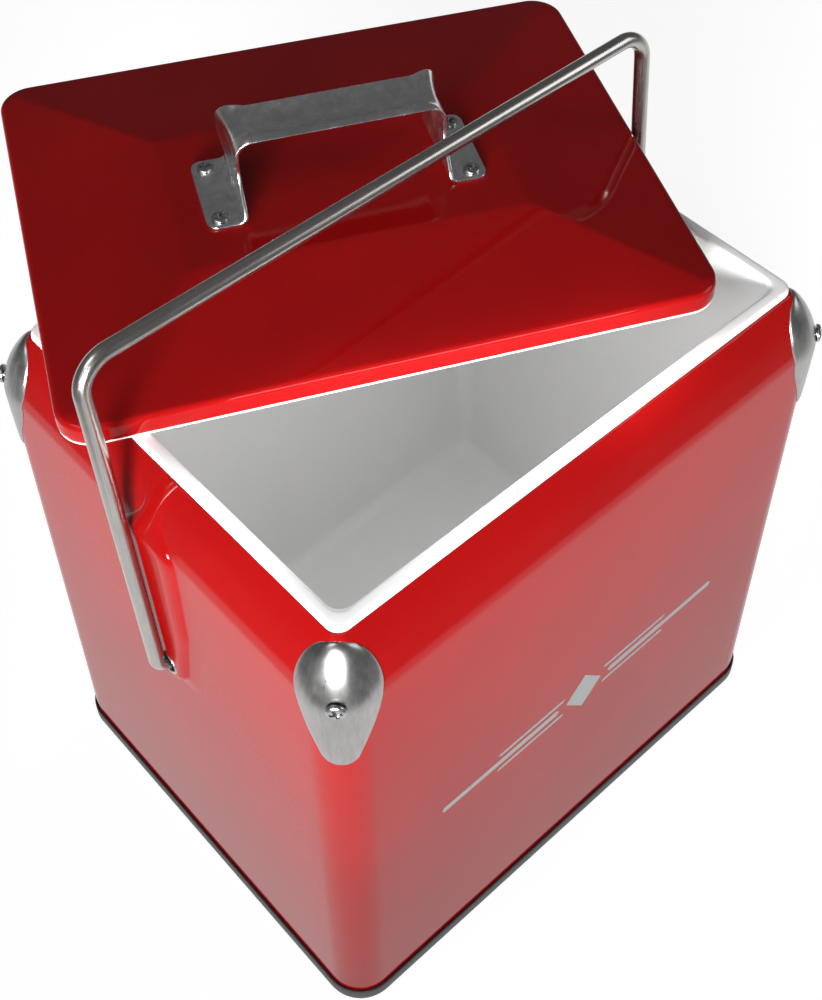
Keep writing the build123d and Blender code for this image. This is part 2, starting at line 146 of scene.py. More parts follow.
def cut(obj, tool):
    """Cuts the tool's shape out of the object and removes the tool."""
    apply(obj, "BOOLEAN", operation="DIFFERENCE", object=tool, solver="EXACT")
    bpy.data.objects.remove(tool)
    return obj


def tube(points, radius, sides=28):
    """Points, faces and lengthwise coordinates of a round bar along a planar path."""
    path = [Vector(p) for p in points]
    first = (path[1] - path[0]).normalized()
    side = first.orthogonal().normalized()
    travelled = 0.0
    verts, uvs = [], []
    previous = first
    for i, p in enumerate(path):
        if i == 0:
            tangent = first
        elif i == len(path) - 1:
            tangent = (path[i] - path[i - 1]).normalized()
        else:
            tangent = ((path[i + 1] - p).normalized() + (p - path[i - 1]).normalized()).normalized()
        side = previous.rotation_difference(tangent) @ side
        previous = tangent
        up = tangent.cross(side)
        if i:
            travelled += (p - path[i - 1]).length
        for j in range(sides):
            a = 2 * math.pi * j / sides
            verts.append(tuple(p + radius * (math.cos(a) * side + math.sin(a) * up)))
            uvs.append((travelled, radius * a))
    faces = []
    for i in range(len(path) - 1):
        for j in range(sides):
            k = (j + 1) % sides
            faces.append((i * sides + j, i * sides + k, (i + 1) * sides + k, (i + 1) * sides + j))
    faces.append(tuple(reversed(range(sides))))
    faces.append(tuple((len(path) - 1) * sides + j for j in range(sides)))
    return verts, faces, uvs


def rounded_path(corners, radii, step=1.0):
    """A path through corners, each rounded by its radius, as points."""
    points = [Vector(corners[0])]
    for before, at, after, radius in zip(corners, corners[1:], corners[2:], radii):
        before, at, after = Vector(before), Vector(at), Vector(after)
        a, b = (before - at).normalized(), (after - at).normalized()
        half = a.angle(b) / 2
        reach = radius / math.tan(half)
        centre = at + (a + b).normalized() * (radius / math.sin(half))
        start, end = at + a * reach, at + b * reach
        arms = start - centre, end - centre
        turn = arms[0].angle(arms[1])
        count = max(4, int(turn * radius / step))
        for i in range(count + 1):
            t = i / count
            points.append(
                centre
                + arms[0] * (math.sin((1 - t) * turn) / math.sin(turn))
                + arms[1] * (math.sin(t * turn) / math.sin(turn))
            )
    points.append(Vector(corners[-1]))
    return points


def turned(name, profile, sides=40, matrix=None, sharp=40.0):
    """A turned piece about z from (radius, height) points, closed on itself."""
    rings = []
    for r, z in profile:
        rings.append(
            [
                (
                    r * math.cos(2 * math.pi * j / sides),
                    r * math.sin(2 * math.pi * j / sides),
                    z,
                )
                for j in range(sides)
            ]
        )
    open_start, open_end = profile[0][0] < 0.2, profile[-1][0] < 0.2
    if not open_start:
        rings.append(rings[0])
    verts, faces = stack(rings, cap_first=open_start, cap_last=open_start and open_end)
    obj = make_mesh(name, verts, faces, sharp, matrix)
    bm = bmesh.new()
    bm.from_mesh(obj.data)
    bmesh.ops.remove_doubles(bm, verts=bm.verts, dist=1e-7)
    bm.to_mesh(obj.data)
    bm.free()
    tidy(obj, sharp)
    return obj


# ---------------------------------------------------------------- materials
def material(name):
    made = bpy.data.materials.new(name)
    made.use_nodes = True
    return made, made.node_tree, made.node_tree.nodes["Principled BSDF"]


def constants(shader, **values):
    for key, value in values.items():
        shader.inputs[key.replace("_", " ")].default_value = value


def coordinates(tree, scale, uv=False):
    coord = tree.nodes.new("ShaderNodeTexCoord")
    mapping = tree.nodes.new("ShaderNodeMapping")
    mapping.inputs["Scale"].default_value = scale
    tree.links.new(coord.outputs["UV" if uv else "Object"], mapping.inputs["Vector"])
    return mapping.outputs["Vector"]


def noise(tree, vector, scale, detail=3.0, roughness=0.55):
    node = tree.nodes.new("ShaderNodeTexNoise")
    node.inputs["Scale"].default_value = scale
    node.inputs["Detail"].default_value = detail
    node.inputs["Roughness"].default_value = roughness
    tree.links.new(vector, node.inputs["Vector"])
    return node.outputs["Fac"]


def ramp(tree, value, low, high, start=0.0, end=1.0):
    """Maps a 0..1 value to low..high between start and end."""
    node = tree.nodes.new("ShaderNodeMapRange")
    node.inputs["From Min"].default_value = start
    node.inputs["From Max"].default_value = end
    node.inputs["To Min"].default_value = low
    node.inputs["To Max"].default_value = high
    tree.links.new(value, node.inputs["Value"])
    return node.outputs["Result"]


def blend_colour(tree, factor, first, second):
    node = tree.nodes.new("ShaderNodeMix")
    node.data_type = "RGBA"
    tree.links.new(factor, node.inputs["Factor"])
    for socket, value in (("A", first), ("B", second)):
        target = [s for s in node.inputs if s.name == socket and s.type == "RGBA"][0]
        if isinstance(value, tuple):
            target.default_value = (*value, 1.0)
        else:
            tree.links.new(value, target)
    return [s for s in node.outputs if s.type == "RGBA"][0]


def bump(tree, shader, heights):
    """Chains bump nodes; heights are (value, strength, distance in metres)."""
    normal = None
    for value, strength, distance in heights:
        node = tree.nodes.new("ShaderNodeBump")
        node.inputs["Strength"].default_value = strength
        node.inputs["Distance"].default_value = distance
        tree.links.new(value, node.inputs["Height"])
        if normal is not None:
            tree.links.new(normal, node.inputs["Normal"])
        normal = node.outputs["Normal"]
    tree.links.new(normal, shader.inputs["Normal"])
    return normal


def paint_material(name, colour, dark):
    """Powder-coated steel: a glossy coat with a fine orange peel over a slightly mottled base, with
    painted glints of the peel's highlights as bright specks in the base colour.
    """
    made, tree, shader = material(name)
    place = coordinates(tree, (1, 1, 1))
    cloud = noise(tree, place, 14.0, 3.0)
    # Painted highlight: fine bright specks in the base colour stand in for glints off the coat's
    # orange peel.
    glint_noise = noise(tree, place, 1900.0, 2.0, 0.6)
    mottled = blend_colour(tree, ramp(tree, cloud, 0.0, 1.0, 0.35, 0.65), colour, dark)
    glint_colour = tuple(min(1.0, c * 1.5 + 0.004) for c in colour)
    glinted = blend_colour(tree, ramp(tree, glint_noise, 0.0, 0.5, 0.6, 0.75), mottled, glint_colour)
    tree.links.new(glinted, shader.inputs["Base Color"])
    tree.links.new(ramp(tree, cloud, 0.24, 0.34), shader.inputs["Roughness"])
    constants(shader, Coat_Weight=0.8, Coat_Roughness=0.05, Coat_IOR=1.33, Specular_IOR_Level=0.0)
    peel = noise(tree, place, 420.0, 2.0, 0.5)
    wave = noise(tree, place, 22.0, 0.0, 0.4)
    normal = bump(tree, shader, [(wave, 0.1, 0.001), (peel, 0.2, 0.0001)])
    tree.links.new(normal, shader.inputs["Coat Normal"])
    return made


def brushed_material(name, light, dark, stretch, roughness, uv=False, anisotropy=0.5):
    """Satin steel with fine scratches that run along the stretched direction."""
    made, tree, shader = material(name)
    lines = noise(tree, coordinates(tree, stretch, uv), 1.0, 4.0, 0.65)
    coarse = noise(tree, coordinates(tree, tuple(c * 0.25 for c in stretch), uv), 1.0, 3.0, 0.6)
    smudge = noise(tree, coordinates(tree, (1, 1, 1)), 45.0, 3.0)
    tone = blend_colour(tree, ramp(tree, lines, 0.0, 1.0, 0.3, 0.7), dark, light)
    tinted = blend_colour(
        tree, ramp(tree, smudge, 0.0, 0.35, 0.45, 0.75), tone, tuple(c * 0.72 for c in light)
    )
    tree.links.new(tinted, shader.inputs["Base Color"])
    low, high = roughness
    tree.links.new(ramp(tree, coarse, low, high, 0.3, 0.7), shader.inputs["Roughness"])
    constants(shader, Metallic=1.0, Anisotropic=anisotropy)
    bump(tree, shader, [(lines, 0.3, 0.00006), (smudge, 0.15, 0.0003)])
    return made


def plastic_material(name, colour, shade, roughness, grain_scale, grain_depth, specular=0.5):
    """Moulded plastic with a fine grain and faint flow marks."""
    made, tree, shader = material(name)
    place = coordinates(tree, (1, 1, 1))
    cloud = noise(tree, place, 9.0, 3.0)
    grain = noise(tree, place, grain_scale, 3.0, 0.6)
    tree.links.new(
        blend_colour(tree, ramp(tree, cloud, 0.0, 1.0, 0.3, 0.7), colour, shade),
        shader.inputs["Base Color"],
    )
    low, high = roughness
    tree.links.new(ramp(tree, grain, low, high, 0.3, 0.7), shader.inputs["Roughness"])
    constants(shader, Specular_IOR_Level=specular)
    bump(tree, shader, [(grain, 0.4, grain_depth)])
    return made


def foam_material():
    """Cream rigid foam with open cells."""
    made, tree, shader = material("foam")
    place = coordinates(tree, (1, 1, 1))
    cells = tree.nodes.new("ShaderNodeTexVoronoi")
    cells.inputs["Scale"].default_value = 900.0
    tree.links.new(place, cells.inputs["Vector"])
    tree.links.new(
        blend_colour(
            tree, ramp(tree, cells.outputs["Distance"], 0, 1), (0.6, 0.5, 0.3), (0.82, 0.76, 0.55)
        ),
        shader.inputs["Base Color"],
    )
    constants(shader, Roughness=0.9)
    bump(tree, shader, [(cells.outputs["Distance"], 0.6, 0.0003)])
    return made


red = paint_material("red_paint", (0.232, 0.003, 0.003), (0.212, 0.0025, 0.0028))
print_grey = plastic_material(
    "print_grey", (0.24, 0.25, 0.25), (0.22, 0.23, 0.23), (0.35, 0.45), 1500, 0.00002, 0.3
)
white = plastic_material(
    "white_plastic", (0.92, 0.92, 0.915), (0.9, 0.9, 0.895), (0.28, 0.4), 1300, 0.00003
)
black = plastic_material(
    "black_plastic", (0.02, 0.02, 0.021), (0.028, 0.028, 0.03), (0.45, 0.62), 1600, 0.00006
)
nylon = plastic_material(
    "bush_nylon", (0.02, 0.02, 0.02), (0.03, 0.03, 0.03), (0.4, 0.5), 1200, 0.00003
)
guard_steel = brushed_material(
    "guard_steel", (0.44, 0.435, 0.43), (0.33, 0.325, 0.32), (500, 500, 60), (0.26, 0.38)
)
bail_steel = brushed_material(
    "bail_steel", (0.53, 0.515, 0.49), (0.36, 0.35, 0.335), (60, 1800, 1), (0.2, 0.3), uv=True
)
handle_steel = brushed_material(
    "handle_steel", (0.8, 0.8, 0.8), (0.62, 0.62, 0.625), (220, 220, 220), (0.16, 0.3), False, 0.2
)
screw_steel = brushed_material(
    "screw_steel", (0.5, 0.5, 0.5), (0.38, 0.38, 0.38), (900, 900, 900), (0.2, 0.3), False, 0.0
)
zinc = brushed_material(
    "zinc_steel", (0.5, 0.5, 0.49), (0.38, 0.38, 0.38), (300, 300, 300), (0.35, 0.5), False, 0.0
)
foam = foam_material()


def dress(obj, made):
    obj.data.materials.clear()
    obj.data.materials.append(made)
    return obj


def fit(obj, made, body, slot, *replaced):
    """Gives a finished piece its material and its body, and hides the nodes it stands for; the slot is
    not used.
    """
    dress(obj, made)
    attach(obj, body)
    if replaced:
        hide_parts(*replaced)
    return obj


for node_name, made in (
    ("chest_foam", foam),
    ("lid_foam", foam),
    ("pivot_plate_left", zinc),
    ("pivot_plate_right", zinc),
    ("pivot_bush_left", nylon),
    ("pivot_bush_right", nylon),
    ("guard_nuts", zinc),
    ("bail_end_clips", zinc),
    ("handle_washers", zinc),
    ("handle_nuts", zinc),
):
    dress(nodes[node_name], made)


# ---------------------------------------------------------------- shell
SHOULDER_FOLD = math.radians(10.0)


def shoulder_inset(z):
    """How far the shoulder leans in at a height: a fold at its start, then one wide curve."""
    if z <= SHOULDER_Z:
        return 0.0
    height = SEAT_Z - SHOULDER_Z
    chord = math.atan2(SHOULDER_INSET, height)
    radius = math.hypot(SHOULDER_INSET, height) / (2 * math.sin(chord - SHOULDER_FOLD))
    rise = min(z, SEAT_Z) - SHOULDER_Z
    lean = math.asin(math.sin(SHOULDER_FOLD) + rise / radius)
    return radius * (math.cos(SHOULDER_FOLD) - math.cos(lean))


# Share of the way from a pad's face to its foot, and how far the skin is raised there.
PAD_ROUND = [
    (-9.0, 1.0), (0.0, 1.0), (0.12, 0.99), (0.26, 0.955), (0.4, 0.9), (0.54, 0.815), (0.67, 0.7),
    (0.78, 0.56), (0.87, 0.405), (0.93, 0.27), (0.975, 0.15), (1.01, 0.07), (1.055, 0.022),
    (1.12, 0.0), (9.0, 0.0),
]
PAD_STEPS = [t for t, _ in PAD_ROUND[2:-1]]


# Height, and the half-widths of the pad's foot and face where its upper end rounds off.
PAD_END = [
    (290.0, 19.0, 10.0), (294.0, 18.7, 9.6), (297.0, 17.9, 8.8), (299.5, 16.6, 7.8),
    (301.5, 14.9, 6.7), (303.5, 12.9, 5.4), (306.0, 10.4, 3.9), (309.0, 8.2, 2.6), (313.0, 6.6, 1.7),
    (318.0, 6.6, 1.5), (323.0, 8.2, 1.8), (327.0, 10.4, 2.2), (331.0, 12.4, 2.6),
]


def pad_half(z, tip, half):
    """Half-width of a pad outline at a height: a round tip, straight sides and a round end."""
    if z > PAD_END[0][0]:
        heights, feet, faces = zip(*PAD_END)
        return float(np.interp(z, heights, feet if half == PAD_FOOT else faces))
    rise = z - PIVOT_Z
    corner = math.hypot(half, PAD_TAPER_Z - PIVOT_Z)
    touch = math.atan2(PAD_TAPER_Z - PIVOT_Z, half) - math.acos(tip / corner)
    touch_y, touch_z = tip * math.cos(touch), tip * math.sin(touch)
    if rise <= touch_z:
        return math.sqrt(max(tip**2 - rise**2, 0.0))
    top = PAD_TAPER_Z - PIVOT_Z
    share = min((rise - touch_z) / (top - touch_z), 1.0)
    return touch_y + (half - touch_y) * share


def pad_place(t, z):
    """Distance from the pad's middle line at a share t of the way from its face to its foot."""
    drop = max(PIVOT_Z - z, 0.0)
    if drop > 0:
        reach = PAD_FACE_TIP + (PAD_FOOT_TIP - PAD_FACE_TIP) * t
        return math.sqrt(max(reach**2 - drop**2, 0.0))
    face = pad_half(z, PAD_FACE_TIP, PAD_FACE)
    return face + (pad_half(z, PAD_FOOT_TIP, PAD_FOOT) - face) * t


def pad_weight(y, z):
    """How far the skin is raised at a place on the end: 1 on the pad's face, 0 off the pad."""
    drop = max(PIVOT_Z - z, 0.0)
    if drop > 0:
        t = (math.hypot(y, drop) - PAD_FACE_TIP) / (PAD_FOOT_TIP - PAD_FACE_TIP)
    else:
        face = pad_half(z, PAD_FACE_TIP, PAD_FACE)
        t = (abs(y) - face) / (pad_half(z, PAD_FOOT_TIP, PAD_FOOT) - face)
    return float(np.interp(t, *zip(*PAD_ROUND)))


def end_columns(z):
    """Shares of the end's half-width where the mesh has its upright lines."""
    span = BODY_Y - BODY_R
    half = [pad_place(0.0, z) * f for f in (0.25, 0.5, 0.75, 1.0)]
    half += [pad_place(t, z) for t in PAD_STEPS]
    half += list(half[-1] + (span - half[-1]) * np.linspace(0, 1, 10)[1:])
    for i in range(len(half)):
        low = half[i - 1] if i else 0.0
        half[i] = max(half[i], low + 0.1)
    half[-1] = span
    return np.array([-h / span for h in reversed(half)] + [0.0] + [h / span for h in half])


WALL_TOP = 296.0
# Height, and how far the pad's face stands off the skin, where it runs out on the shoulder.
PAD_RISE = [(297.0, 3.5), (300.0, 3.3), (303.0, 2.75), (306.0, 2.05), (309.0, 1.4), (312.0, 0.95)]
PAD_RISE += [(316.0, 0.65), (322.0, 0.5), (331.0, 0.35)]


def pad_rise(z):
    """How far the pad's face stands off the skin: it dies into a faint ridge on the shoulder."""
    return float(np.interp(z, *zip(*PAD_RISE)))


def shell_profile():
    """(inset, z, inset on the pad's face) from the hem up to the lip."""
    rows = [(12.0, 2.8), (1.6, 2.8), (0.7, 3.0), (0.2, 3.5), (0.0, 4.2)]
    rows = [(inset, z, inset) for inset, z in rows]
    tip = [PAD_FACE_TIP + (PAD_FOOT_TIP - PAD_FACE_TIP) * t for t in PAD_STEPS]
    low = [PIVOT_Z - r for r in reversed(tip)]
    low += list(PIVOT_Z - np.array([7.8, 7.0, 6.0, 4.8, 3.4, 1.8]))
    rows += [(0.0, z, 0.0) for z in np.linspace(12, low[0] - 4, 11)]
    rows += [(0.0, z, -PAD_OUT) for z in low]
    rows += [(0.0, z, -PAD_OUT) for z in np.arange(PIVOT_Z, 289.0, 2.0)]
    plain = [(0.0, z) for z in (290.0, 293.0, WALL_TOP)]
    for rise in np.linspace(0, 1, 34)[1:]:
        z = SHOULDER_Z + (SEAT_Z - SHOULDER_Z) * (1 - (1 - rise) ** 1.25)
        plain.append((shoulder_inset(z), z))
    plain.insert(3, (0.02, SHOULDER_Z - 0.7))
    plain.insert(4, (0.1, SHOULDER_Z + 0.3))
    rows += [(inset, z, inset - pad_rise(z)) for inset, z in plain]
    rows += [(15.6, 330.1, 15.6), (19.0, 330.1, 19.0)]
    return rows


def build_shell():
    rings = []
    for inset, z, pad_inset in shell_profile():
        radius = max(BODY_R - inset, 0.6)
        points = []
        columns = end_columns(z)
        for x, y in ring(BODY_X - inset, BODY_Y - inset, radius, across=24, steps=16, fy=columns):
            w = pad_weight(y, z) if abs(x) > BODY_X - inset - 0.01 else 0.0
            px = (BODY_X - inset) * (1 - w) + (BODY_X - pad_inset) * w
            points.append((math.copysign(px, x) if w else x, y, z))
        rings.append(points)
    verts, faces = stack(rings)
    shell = make_mesh("shell_skin", verts, faces)
    apply(shell, "SOLIDIFY", thickness=1.0 * MM, offset=-1.0)
    hole = turned(
        "hole", [(0.1, -170.0), (6.4, -170.0), (6.4, 170.0), (0.1, 170.0)], 48,
        Matrix.Translation((0, 0, PIVOT_Z)) @ Matrix.Rotation(math.pi / 2, 4, "Y"),
    )
    cut(shell, hole)
    tidy(shell, 42.0)
    return shell


fit(build_shell(), red, "chest", "red_paint", "outer_shell")


# ---------------------------------------------------------------- base tray
def build_tray():
    rows = [(2.2, 0.0), (0.2, 0.0), (-0.7, 0.15), (-1.25, 0.5), (-1.4, 1.1), (-1.4, 8.2)]
    rows += [(-1.3, 8.65), (-1.0, 8.9), (-0.7, 9.0), (-0.45, 8.95), (-0.25, 8.7), (-0.2, 8.3)]
    rows += [(-0.15, 2.5)]
    rings = [
        [
            (x, y, z)
            for x, y in ring(BODY_X - i, BODY_Y - i, BODY_R - i, across=12, along=10, steps=14)
        ]
        for i, z in rows
    ]
    verts, faces = stack(rings, cap_first=True, cap_last=True)
    return make_mesh("base_tray_shape", verts, faces, 30.0)


fit(build_tray(), black, "chest", "black_plastic", "base_tray")


# ---------------------------------------------------------------- tub
def build_tub():
    rows = [(136.0, 104.3, 12.0, 30.0), (136.2, 104.5, 12.0, 60.0)]
    rows += [(139.8, 108.1, 10.0, 329.5), (140.2, 108.4, 9.8, 330.1), (143.9, 112.4, 6.4, 330.1)]
    rows += [(144.5, 113.0, 7.0, 330.4), (144.7, 113.2, 7.2, 330.9), (144.7, 113.2, 7.2, 331.8)]
    for a in np.linspace(10, 90, 7):
        s, c = math.sin(math.radians(a)), math.cos(math.radians(a))
        rows.append((142.9 + 1.8 * c, 111.4 + 1.8 * c, 7.2 - 1.8 * (1 - c), 331.9 + 1.8 * s))
    for a in np.linspace(90, 0, 8):
        s, c = math.sin(math.radians(a)), math.cos(math.radians(a))
        rows.append((139.7 - 1.8 * c, 108.0 - 1.8 * c, 6.6 + 1.8 * c, 331.9 + 1.8 * s))
    for z in np.linspace(326, 48, 14):
        t = (331.9 - z) / 300.0
        rows.append((137.9 - 3.8 * t, 106.2 - 3.8 * t, 8.4 + 3.6 * t, z))
    for a in np.linspace(0, 90, 8):
        s, c = math.sin(math.radians(a)), math.cos(math.radians(a))
        rows.append((134.1 - 10 * (1 - c), 102.4 - 10 * (1 - c), 12.0 - 8 * (1 - c), 42 - 10 * s))
    rings = [
        [(x, y, z) for x, y in ring(hx, hy, r, across=12, along=10, steps=12)]
        for hx, hy, r, z in rows
    ]
    verts, faces = stack(rings, cap_first=True, cap_last=True)
    return make_mesh("tub_shape", verts, faces, 50.0)


fit(build_tub(), white, "chest", "white_plastic", "tub_liner")


# ---------------------------------------------------------------- lid
PLATEAU_X, PLATEAU_Y = 84.5, 48.5


def roof_height(x, y):
    """Height of the hip roof, with softly pressed creases."""
    slopes = [
        12.0 + 8.0 * (121.5 - abs(y)) / (121.5 - PLATEAU_Y),
        12.0 + 8.0 * (154.0 - abs(x)) / (154.0 - PLATEAU_X),
        20.0,
    ]
    softness = 0.07
    low = min(slopes)
    return low - softness * math.log(sum(math.exp(-(s - low) / softness) for s in slopes))


def build_lid():
    rows = [(155.6, 123.1, 15.6, 1.6), (156.6, 124.1, 16.6, 1.45), (157.0, 124.5, 17.0, 1.9)]
    rows += [(157.0, 124.5, 17.0, z) for z in (4.0, 6.5, 8.9)]
    for a in np.linspace(8, 80, 9):
        s, c = math.sin(math.radians(a)), math.cos(math.radians(a))
        rows.append((154.1 + 2.9 * c, 121.6 + 2.9 * c, 14.1 + 2.9 * c, 9.05 + 2.9 * s))
    rings = [
        [(x, y, z) for x, y in ring(hx, hy, r, across=40, along=32, steps=14)]
        for hx, hy, r, z in rows
    ]
    for t in np.linspace(0.006, 1.0, 44):
        hx = 154.0 + (62.0 - 154.0) * t
        hy = 121.5 + (24.0 - 121.5) * t
        r = 14.0 + (2.5 - 14.0) * t
        rings.append(
            [
                (x, y, roof_height(x, y))
                for x, y in ring(hx, hy, r, across=40, along=32, steps=14)
            ]
        )
    verts, faces = stack(rings, cap_last=True)
    lid = make_mesh("lid_skin_shape", verts, faces, 60.0, LID_MATRIX)
    return lid


fit(build_lid(), red, "lid", "red_paint", "lid_skin")


def build_lid_panel():
    rows = [(156.2, 123.7, 16.2, 1.4), (156.7, 124.2, 16.7, 1.2), (156.7, 124.2, 16.7, 0.4)]
    rows += [(156.3, 123.8, 16.3, 0.05), (155.8, 123.3, 15.8, 0.0), (146.7, 115.2, 9.4, 0.0)]
    rows += [(146.0, 114.5, 8.8, 0.25), (145.75, 114.25, 8.5, 0.9), (145.5, 114.0, 8.3, 3.4)]
    rows += [(145.0, 113.5, 7.8, 4.0), (144.2, 112.7, 7.0, 4.2)]
    rings = [
        [(x, y, z) for x, y in ring(hx, hy, r, across=12, along=10, steps=12)]
        for hx, hy, r, z in rows
    ]
    verts, faces = stack(rings, cap_first=True, cap_last=True)
    return make_mesh("lid_panel_shape", verts, faces, 40.0, LID_MATRIX)


fit(build_lid_panel(), white, "lid", "white_plastic", "lid_inner_panel")


# ---------------------------------------------------------------- bail
def build_bail():
    up = Vector((0, math.sin(LEAN), math.cos(LEAN)))
    base = Vector((0, 0, PIVOT_Z))
    side = Vector((1, 0, 0))
    span, length = 168.5, 204.0
    corners = [
        base - side * 144.0,
        base - side * span,
        base - side * span + up * length,
        base + side * span + up * length,
        base + side * span,
        base + side * 144.0,
    ]
    points = rounded_path(corners, (7.5, 16.0, 16.0, 7.5))
    verts, faces, uvs = tube(points, 4.0)
    return make_mesh("bail_rod", verts, faces, 40.0, uvs=uvs)


fit(build_bail(), bail_steel, "bail", "bail_steel", "bail")


# ---------------------------------------------------------------- pivot eyelets
def build_eyelet(side):
    profile = [(6.0, -1.8), (6.35, -1.8), (6.35, 0.0), (7.5, 0.0), (7.45, 0.18), (7.25, 0.34)]
    profile += [(6.9, 0.4), (6.5, 0.38), (6.15, 0.2), (6.0, -0.2)]
    matrix = Matrix.Translation((side * (BODY_X + PAD_OUT), 0, PIVOT_Z))
    matrix = matrix @ Matrix.Rotation(side * math.pi / 2, 4, "Y")
    return turned(f"eyelet_{'left' if side < 0 else 'right'}", profile, 48, matrix, 50.0)


for side in (-1, 1):
    name = "left" if side < 0 else "right"
    fit(build_eyelet(side), screw_steel, "chest", "bright_steel", f"pivot_eyelet_{name}")


# ---------------------------------------------------------------- corner guards
EGG_LOW, EGG_LOW_R, EGG_TILT = 262.3, 8.5, math.radians(16.7)
GUARD_MIDDLE_Z = 302.0
EGG_HIGH, EGG_HALF, EGG_RISE, EGG_POWER = 303.5, 18.4, 25.0, 1.75


def corner_reach(u, z):
    """Distance of the chest's skin from the corner's axis, along the diagonal."""
    radius = BODY_R - shoulder_inset(z)
    if abs(u) < radius * math.sqrt(0.5):
        return math.sqrt(radius**2 - u * u)
    return radius * math.sqrt(2) - abs(u)


def egg_outline(count):
    """The guard's outline in (u, z), anticlockwise."""
    upper, lower = int(count * 0.46), int(count * 0.2)
    side = (count - upper - lower) // 2
    points = []
    for a in np.linspace(0, math.pi, upper, endpoint=False):
        u = math.copysign(abs(math.cos(a)) ** (2 / EGG_POWER), math.cos(a))
        points.append((EGG_HALF * u, EGG_HIGH + EGG_RISE * math.sin(a) ** (2 / EGG_POWER)))
    tilt = EGG_TILT
    low_u, low_z = EGG_LOW_R * math.cos(tilt), EGG_LOW - EGG_LOW_R * math.sin(tilt)
    drop = EGG_HIGH - low_z
    flank = []
    for t in np.linspace(0, 1, side, endpoint=False):
        bend = (EGG_HALF - low_u) * t * t * (3 - 2 * t) - drop * math.tan(tilt) * t * t * (1 - t)
        flank.append((EGG_HALF - bend, EGG_HIGH - drop * t))
    points += [(-u, z) for u, z in flank]
    for a in np.linspace(math.pi + tilt, 2 * math.pi - tilt, lower, endpoint=False):
        points.append((EGG_LOW_R * math.cos(a), EGG_LOW + EGG_LOW_R * math.sin(a)))
    points.append((low_u, low_z))
    points += list(reversed(flank))[:-1]
    return points


def guard_point(u, z, height):
    """A point at a height over the chest's skin, in the corner's (reach, u, z)."""
    step = 0.4
    du = (corner_reach(u + step, z) - corner_reach(u - step, z)) / (2 * step)
    dz = (corner_reach(u, z + step) - corner_reach(u, z - step)) / (2 * step)
    normal = Vector((1.0, -du, -dz)).normalized()
    return Vector((corner_reach(u, z), u, z)) + normal * height


def build_guard(name, sx, sy):
    outline = egg_outline(96)
    count = len(outline)
    rings = []
    shares = [1.0, 0.995, 0.985, 0.965, 0.94, 0.9] + list(np.linspace(0.85, 0.05, 20))
    heights = [0.05, 0.3, 0.6, 0.9, 1.15]
    for i, share in enumerate(shares):
        points = []
        for u, z in outline:
            pz = GUARD_MIDDLE_Z + (z - GUARD_MIDDLE_Z) * share
            dome = 1.2 + 1.2 * (1 - share**2.2)
            height = heights[i] if i < len(heights) else dome
            points.append(guard_point(u * share, pz, height))
        rings.append(points)
    verts, faces = stack(rings, cap_last=True)
    diagonal = Vector((sx, sy, 0)).normalized()
    across = Vector((-sy, sx, 0)).normalized()
    origin = Vector((sx * (BODY_X - BODY_R), sy * (BODY_Y - BODY_R), 0))
    placed = [tuple(origin + diagonal * p[0] + across * p[1] + Vector((0, 0, p[2]))) for p in verts]
    guard = make_mesh(name, placed, faces, 50.0)
    bm = bmesh.new()
    bm.from_mesh(guard.data)
    inner = [v for v in bm.verts if v.index >= 5 * count]
    for _ in range(3):
        bmesh.ops.smooth_vert(
            bm, verts=inner, factor=0.5, use_axis_x=True, use_axis_y=True, use_axis_z=True
        )
    bm.to_mesh(guard.data)
    bm.free()
    apply(guard, "SOLIDIFY", thickness=0.7 * MM, offset=-1.0)
    tidy(guard, 50.0)
    return guard


CORNERS = {
    "front_left": (-1, -1),
    "front_right": (1, -1),
    "back_left": (-1, 1),
    "back_right": (1, 1),
}
for name, (sx, sy) in CORNERS.items():
    guard = build_guard(f"guard_{name}", sx, sy)
    fit(guard, guard_steel, "chest", "brushed_guard", f"corner_guard_{name}")


# ---------------------------------------------------------------- screws
def pan_head(name, matrix, radius, height, shank, length):
    """A domed pan head with a cross recess, standing on z = 0."""
    profile = [(0.1, height)]
    for a in np.linspace(6, 84, 9):
        s, c = math.sin(math.radians(a)), math.cos(math.radians(a))
        profile.append((radius * s**0.8, height * 0.42 + height * 0.58 * c))
    profile += [(radius, height * 0.2), (radius * 0.97, 0.03), (radius * 0.9, 0.0)]
    profile += [(shank, 0.0), (shank, -length), (0.1, -length)]
    screw = turned(name, profile, 36, None, 35.0)
    reach, width, depth = radius * 0.66, radius * 0.17, height * 0.8
    arms = []
    for turn in (0, 90):
        rings = []
        for z, grow in ((height + 1, 1.25), (height - depth * 0.5, 0.95), (height - depth, 0.45)):
            corners = [(reach, width), (-reach, width), (-reach, -width), (reach, -width)]
            spread = 1.0 if grow > 1 else grow
            rings.append([(x * spread, y * (0.6 + 0.4 * grow), z) for x, y in corners])
        verts, faces = stack(rings, cap_first=True, cap_last=True)
        arms.append(make_mesh("arm", verts, faces, 30, Matrix.Rotation(math.radians(turn), 4, "Z")))
    for arm in arms:
        cut(screw, arm)
    scaled = matrix.copy()
    scaled.translation = matrix.translation * MM
    screw.data.transform(scaled)
    tidy(screw, 35.0)
    return screw


def joined(objects, name):
    """One object from several."""
    bm = bmesh.new()
    for obj in objects:
        bm.from_mesh(obj.data)
        bpy.data.objects.remove(obj)
    mesh = bpy.data.meshes.new(name)
    bm.to_mesh(mesh)
    bm.free()
    made = bpy.data.objects.new(name, mesh)
    bpy.context.scene.collection.objects.link(made)
    tidy(made, 35.0)
    return made


def frame_at(origin, axis, roll=0.0):
    """A matrix whose z points along axis, turned about it by roll degrees."""
    turn = Vector(axis).normalized().to_track_quat("Z", "Y").to_matrix().to_4x4()
    return Matrix.Translation(origin) @ turn @ Matrix.Rotation(math.radians(roll), 4, "Z")


